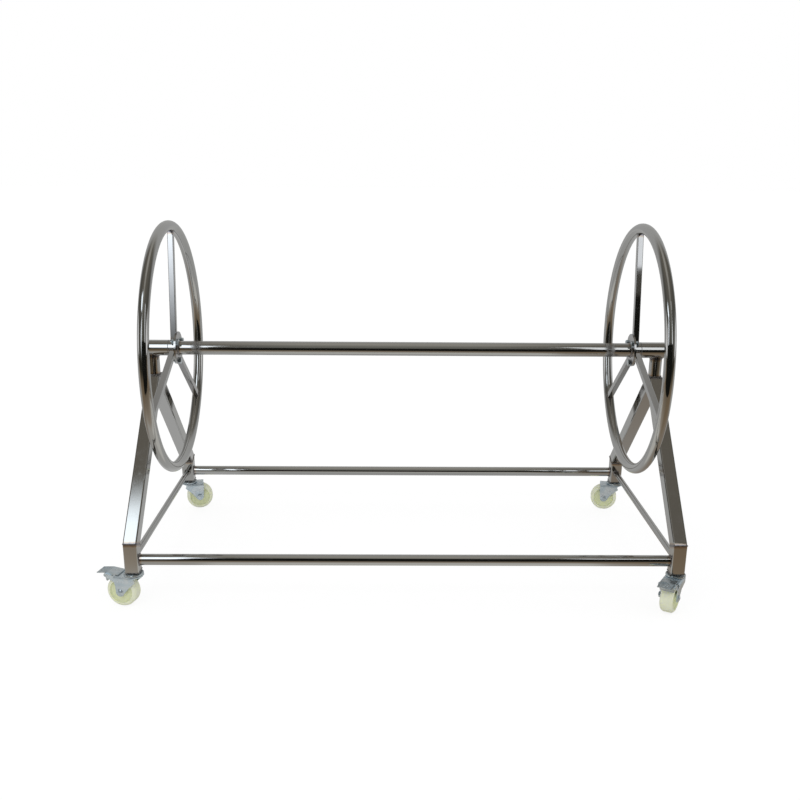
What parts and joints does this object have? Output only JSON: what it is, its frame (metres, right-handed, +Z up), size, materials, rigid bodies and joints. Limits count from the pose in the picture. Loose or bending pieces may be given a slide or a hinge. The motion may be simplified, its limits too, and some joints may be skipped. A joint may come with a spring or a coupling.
{
  "type": "pool lane rope reel",
  "caption": "Wheeled tubular-steel stand carrying a long horizontal axle with a spoked hand wheel at each end, for winding up pool lane marker ropes.",
  "frame": {"origin": "on the floor under the casters, midway between the four swivel axes", "axes": "+X along the reel axle towards the right-hand wheel, -Y towards the front with the braked casters, +Z up"},
  "size_m": [1.6988, 0.9212, 1.0609],
  "materials": {
    "stainless": "polished",
    "steel_inner": "satin",
    "zinc": "bright zinc plate",
    "fastener": "bright zinc plate",
    "nylon": "moulded, slightly glossy",
    "bush": "moulded"
  },
  "bodies": {
    "frame": {"foot_front_left": "stainless", "foot_front_right": "stainless", "foot_rear_left": "stainless", "foot_rear_right": "stainless", "foot_plate_front_left": "steel_inner", "foot_plate_front_right": "steel_inner", "foot_plate_rear_left": "steel_inner", "foot_plate_rear_right": "steel_inner", "leg_front_left": "stainless", "leg_front_right": "stainless", "leg_rear_left": "stainless", "leg_rear_right": "stainless", "front_rail": "stainless", "rear_rail": "stainless", "side_rail_left": "stainless", "side_rail_right": "stainless", "post_left": "stainless", "post_right": "stainless", "bearing_sleeve_left": "stainless", "bearing_sleeve_right": "stainless", "bush_left": "bush", "bush_right": "bush", "sleeve_cap_left": "stainless", "sleeve_cap_right": "stainless", "swivel_head_front_left": "zinc", "swivel_head_front_right": "zinc", "swivel_head_rear_left": "zinc", "swivel_head_rear_right": "zinc"},
    "reel": {"axle_tube": "stainless", "axle_flange_left": "stainless", "axle_flange_right": "stainless", "hub_left": "stainless", "hub_right": "stainless", "stub_shaft_left": "steel_inner", "stub_shaft_right": "steel_inner", "spokes_left": "stainless", "spokes_right": "stainless", "rim_left": "stainless", "rim_right": "stainless", "flange_bolts_left": "fastener", "flange_bolts_right": "fastener"},
    "caster_front_left": {"fork_front_left": "zinc", "caster_bolt_front_left": "fastener", "pedal_pin_left": "zinc"},
    "wheel_front_left": {"caster_wheel_front_left": "nylon"},
    "caster_front_right": {"fork_front_right": "zinc", "caster_bolt_front_right": "fastener", "pedal_pin_right": "zinc"},
    "wheel_front_right": {"caster_wheel_front_right": "nylon"},
    "caster_rear_left": {"fork_rear_left": "zinc", "caster_bolt_rear_left": "fastener"},
    "wheel_rear_left": {"caster_wheel_rear_left": "nylon"},
    "caster_rear_right": {"fork_rear_right": "zinc", "caster_bolt_rear_right": "fastener"},
    "wheel_rear_right": {"caster_wheel_rear_right": "nylon"},
    "pedal_left": {"brake_pedal_left": "zinc"},
    "pedal_right": {"brake_pedal_right": "zinc"}
  },
  "joints": [
    {"name": "reel_spin", "type": "hinge", "parent": "frame", "child": "reel", "pos_m": [0, 0, 0.678], "axis": [1, 0, 0], "continuous": true},
    {"name": "caster_front_left_swivel", "type": "hinge", "parent": "frame", "child": "caster_front_left", "pos_m": [-0.78, -0.39, 0.0945], "axis": [0, 0, 1], "continuous": true},
    {"name": "wheel_front_left_roll", "type": "hinge", "parent": "caster_front_left", "child": "wheel_front_left", "pos_m": [-0.81396, -0.38153, 0.046], "axis": [-0.2419, -0.9703, 0], "continuous": true},
    {"name": "caster_front_right_swivel", "type": "hinge", "parent": "frame", "child": "caster_front_right", "pos_m": [0.78, -0.39, 0.0945], "axis": [0, 0, 1], "continuous": true},
    {"name": "wheel_front_right_roll", "type": "hinge", "parent": "caster_front_right", "child": "wheel_front_right", "pos_m": [0.76094, -0.41935, 0.046], "axis": [0.8387, -0.5446, 0], "continuous": true},
    {"name": "caster_rear_left_swivel", "type": "hinge", "parent": "frame", "child": "caster_rear_left", "pos_m": [-0.78, 0.39, 0.0945], "axis": [0, 0, 1], "continuous": true},
    {"name": "wheel_rear_left_roll", "type": "hinge", "parent": "caster_rear_left", "child": "wheel_rear_left", "pos_m": [-0.74577, 0.39728, 0.046], "axis": [-0.2079, 0.9781, 0], "continuous": true},
    {"name": "caster_rear_right_swivel", "type": "hinge", "parent": "frame", "child": "caster_rear_right", "pos_m": [0.78, 0.39, 0.0945], "axis": [0, 0, 1], "continuous": true},
    {"name": "wheel_rear_right_roll", "type": "hinge", "parent": "caster_rear_right", "child": "wheel_rear_right", "pos_m": [0.74577, 0.39728, 0.046], "axis": [-0.2079, -0.9781, 0], "continuous": true},
    {"name": "pedal_left_press", "type": "hinge", "parent": "caster_front_left", "child": "pedal_left", "pos_m": [-0.85471, -0.37137, 0.096], "axis": [-0.2419, -0.9703, 0], "range_deg": [0, 25]},
    {"name": "pedal_right_press", "type": "hinge", "parent": "caster_front_right", "child": "pedal_right", "pos_m": [0.73806, -0.45458, 0.096], "axis": [0.8387, -0.5446, 0], "range_deg": [0, 25]}
  ]
}
